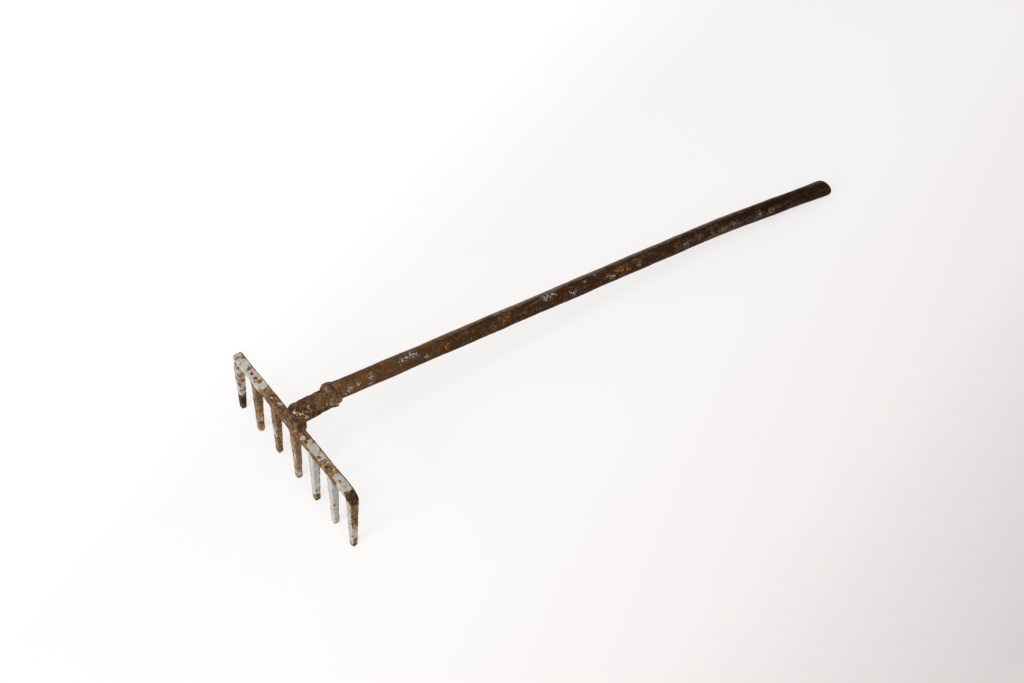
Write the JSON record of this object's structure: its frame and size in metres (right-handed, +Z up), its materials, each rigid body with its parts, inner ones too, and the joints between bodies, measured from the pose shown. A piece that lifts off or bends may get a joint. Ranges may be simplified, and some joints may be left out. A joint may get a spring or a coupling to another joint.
{
  "type": "garden rake",
  "caption": "Old all-steel garden rake: a bar with straight, worn, tapered tines, a forged neck welded over it and a pipe handle with a hammered end, lying on its tines.",
  "frame": {"origin": "on the ground, at the worn tip of the middle tine", "axes": "+Y from the head along the handle, +X along the crossbar towards its round shoulder, +Z up"},
  "size_m": [0.317, 1.0337, 0.1461],
  "materials": {
    "old_paint": "pale grey paint, dull, chipped to rust",
    "rusty_steel": "rough brown rust with flecks of paint",
    "weld": "lumpy weld under rust",
    "brown_pipe": "dark brown, worn smooth, with small chips and flecks of old paint"
  },
  "bodies": {
    "root": {"crossbar": "old_paint", "tine_2": "rusty_steel", "tine_3": "rusty_steel", "tine_4": "rusty_steel", "tine_5": "old_paint", "tine_6": "old_paint", "tine_weld_2": "weld", "tine_weld_3": "weld", "tine_weld_4": "weld", "tine_weld_5": "weld", "tine_weld_6": "weld", "neck": "rusty_steel", "neck_weld": "weld", "mouth_weld": "weld", "handle_pipe": "brown_pipe"}
  },
  "joints": []
}
